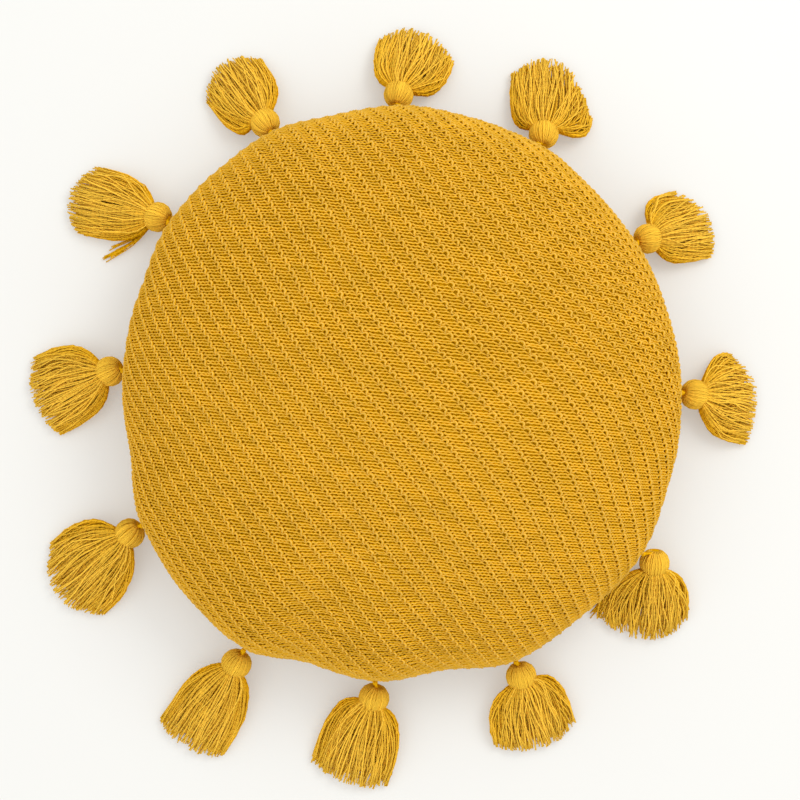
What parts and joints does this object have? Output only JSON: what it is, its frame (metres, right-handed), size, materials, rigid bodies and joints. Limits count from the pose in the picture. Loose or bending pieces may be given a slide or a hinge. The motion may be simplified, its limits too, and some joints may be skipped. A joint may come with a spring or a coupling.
{
  "type": "round seat cushion",
  "caption": "Round filled seat cushion in a knitted cover with slanting ribs and yarn tassels sewn around its rim, lying flat on its back.",
  "frame": {"origin": "middle of the flat patch on which the cushion rests, on the floor", "axes": "+Z up out of the knitted face, +X to the right and +Y up as the face is seen from above in the picture"},
  "size_m": [0.5167, 0.5417, 0.1188],
  "materials": {
    "knitted_cover": "mustard yellow cotton knit, matt, with fine fuzz",
    "tassel_yarn": "mustard yellow cotton yarn, loosely twisted, matt, frayed at the cut ends"
  },
  "bodies": {
    "root": {"cushion": "knitted_cover", "tassel_01": "tassel_yarn", "tassel_02": "tassel_yarn", "tassel_03": "tassel_yarn", "tassel_04": "tassel_yarn", "tassel_05": "tassel_yarn", "tassel_06": "tassel_yarn", "tassel_07": "tassel_yarn", "tassel_08": "tassel_yarn", "tassel_09": "tassel_yarn", "tassel_10": "tassel_yarn", "tassel_11": "tassel_yarn", "tassel_12": "tassel_yarn"}
  },
  "joints": []
}
